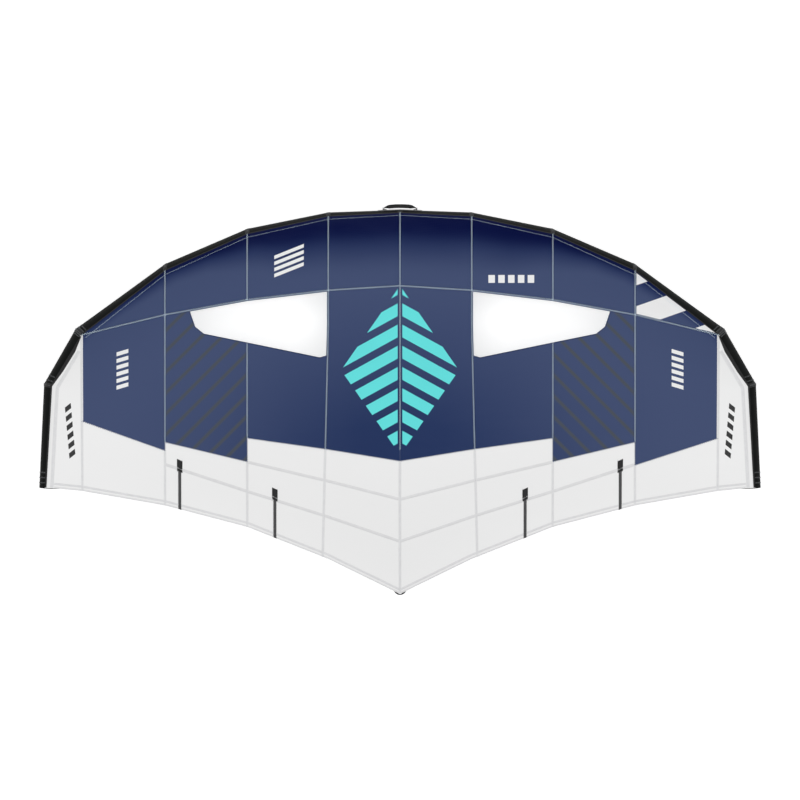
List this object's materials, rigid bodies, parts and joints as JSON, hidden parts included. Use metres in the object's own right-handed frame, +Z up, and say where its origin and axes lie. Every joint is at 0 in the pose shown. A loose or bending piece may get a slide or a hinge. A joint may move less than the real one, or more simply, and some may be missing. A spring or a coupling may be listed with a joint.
{
  "type": "inflatable wing for foil boards",
  "caption": "Hand-held inflatable wing: black leading edge tube and strut, cambered navy and white canopy with clear windows, battens and padded loop handles.",
  "frame": {"origin": "middle of the outline on the floor that the wing rests on", "axes": "+X to the wing's right, +Y towards the leading edge, +Z up"},
  "size_m": [3.6694, 1.9915, 0.4544],
  "materials": {
    "black_sailcloth": "heavy woven polyester sailcloth, matt",
    "navy_ripstop": "thin coated ripstop, slight sheen",
    "striped_ripstop": "thin coated ripstop with fine slanted brown stripes",
    "white_ripstop": "thin coated white ripstop, slight sheen",
    "clear_film": "clear flexible film with a fibre grid",
    "bladder_film": "translucent inflatable film",
    "black_webbing": "woven webbing and reinforcement cloth",
    "black_foam": "ribbed grip sleeve over foam and webbing",
    "black_plastic": "moulded flexible plastic",
    "grey_plastic": "moulded grey plastic"
  },
  "bodies": {
    "wing": {"batten_left_inner": "black_webbing", "batten_left_outer": "black_webbing", "batten_right_inner": "black_webbing", "batten_right_outer": "black_webbing", "bladder_port": "grey_plastic", "canopy_front_left_1": "navy_ripstop", "canopy_front_left_2": "navy_ripstop", "canopy_front_left_3": "navy_ripstop", "canopy_front_left_4": "navy_ripstop", "canopy_front_right_1": "navy_ripstop", "canopy_front_right_2": "navy_ripstop", "canopy_front_right_3": "navy_ripstop", "canopy_front_right_4": "navy_ripstop", "canopy_main_left_1": "navy_ripstop", "canopy_main_left_2": "navy_ripstop", "canopy_main_left_3": "striped_ripstop", "canopy_main_left_4": "navy_ripstop", "canopy_main_right_1": "navy_ripstop", "canopy_main_right_2": "navy_ripstop", "canopy_main_right_3": "striped_ripstop", "canopy_main_right_4": "navy_ripstop", "canopy_rear_left_1": "white_ripstop", "canopy_rear_left_2": "white_ripstop", "canopy_rear_left_3": "white_ripstop", "canopy_rear_left_4": "white_ripstop", "canopy_rear_right_1": "white_ripstop", "canopy_rear_right_2": "white_ripstop", "canopy_rear_right_3": "white_ripstop", "canopy_rear_right_4": "white_ripstop", "canopy_tip_left": "white_ripstop", "canopy_tip_right": "white_ripstop", "front_handle_patch": "black_webbing", "leading_edge_bladder": "bladder_film", "leading_edge_sleeve_left_1": "black_sailcloth", "leading_edge_sleeve_left_2": "black_sailcloth", "leading_edge_sleeve_left_3": "black_sailcloth", "leading_edge_sleeve_left_4": "black_sailcloth", "leading_edge_sleeve_left_5": "black_sailcloth", "leading_edge_sleeve_left_6": "black_sailcloth", "leading_edge_sleeve_right_1": "black_sailcloth", "leading_edge_sleeve_right_2": "black_sailcloth", "leading_edge_sleeve_right_3": "black_sailcloth", "leading_edge_sleeve_right_4": "black_sailcloth", "leading_edge_sleeve_right_5": "black_sailcloth", "leading_edge_sleeve_right_6": "black_sailcloth", "strut_bladder": "bladder_film", "strut_handle_patch": "black_webbing", "strut_sleeve": "black_sailcloth", "strut_tail_cap": "black_webbing", "valve_base": "black_plastic", "window_left": "clear_film", "window_right": "clear_film"},
    "front_handle_body": {"front_handle": "black_foam"},
    "strut_handle_front_body": {"strut_handle_front": "black_foam"},
    "strut_handle_rear_body": {"strut_handle_rear": "black_foam"},
    "valve_cap_body": {"valve_cap": "black_plastic"},
    "valve_core_body": {"valve_core": "grey_plastic"}
  },
  "joints": [
    {"name": "front_handle_swing", "type": "hinge", "parent": "wing", "child": "front_handle_body", "pos_m": [0, 0.97519, 0.12911], "axis": [1, 0, 0], "range_deg": [-30, 30]},
    {"name": "strut_handle_front_swing", "type": "hinge", "parent": "wing", "child": "strut_handle_front_body", "pos_m": [0, 0.38035, 0.15466], "axis": [0, -0.97, 0.2431], "range_deg": [-75, 75]},
    {"name": "strut_handle_rear_swing", "type": "hinge", "parent": "wing", "child": "strut_handle_rear_body", "pos_m": [0, 0.0377, 0.17306], "axis": [0, -0.9962, -0.0867], "range_deg": [-75, 75]},
    {"name": "valve_cap_hinge", "type": "hinge", "parent": "wing", "child": "valve_cap_body", "pos_m": [-0.21673, 0.70924, 0.18216], "axis": [-0.9997, -0.0258, 0], "range_deg": [0, 150]},
    {"name": "valve_core_turn", "type": "hinge", "parent": "wing", "child": "valve_core_body", "pos_m": [-0.21687, 0.71482, 0.14928], "axis": [0.0252, -0.9778, 0.2079], "range_deg": [0, 90]}
  ]
}
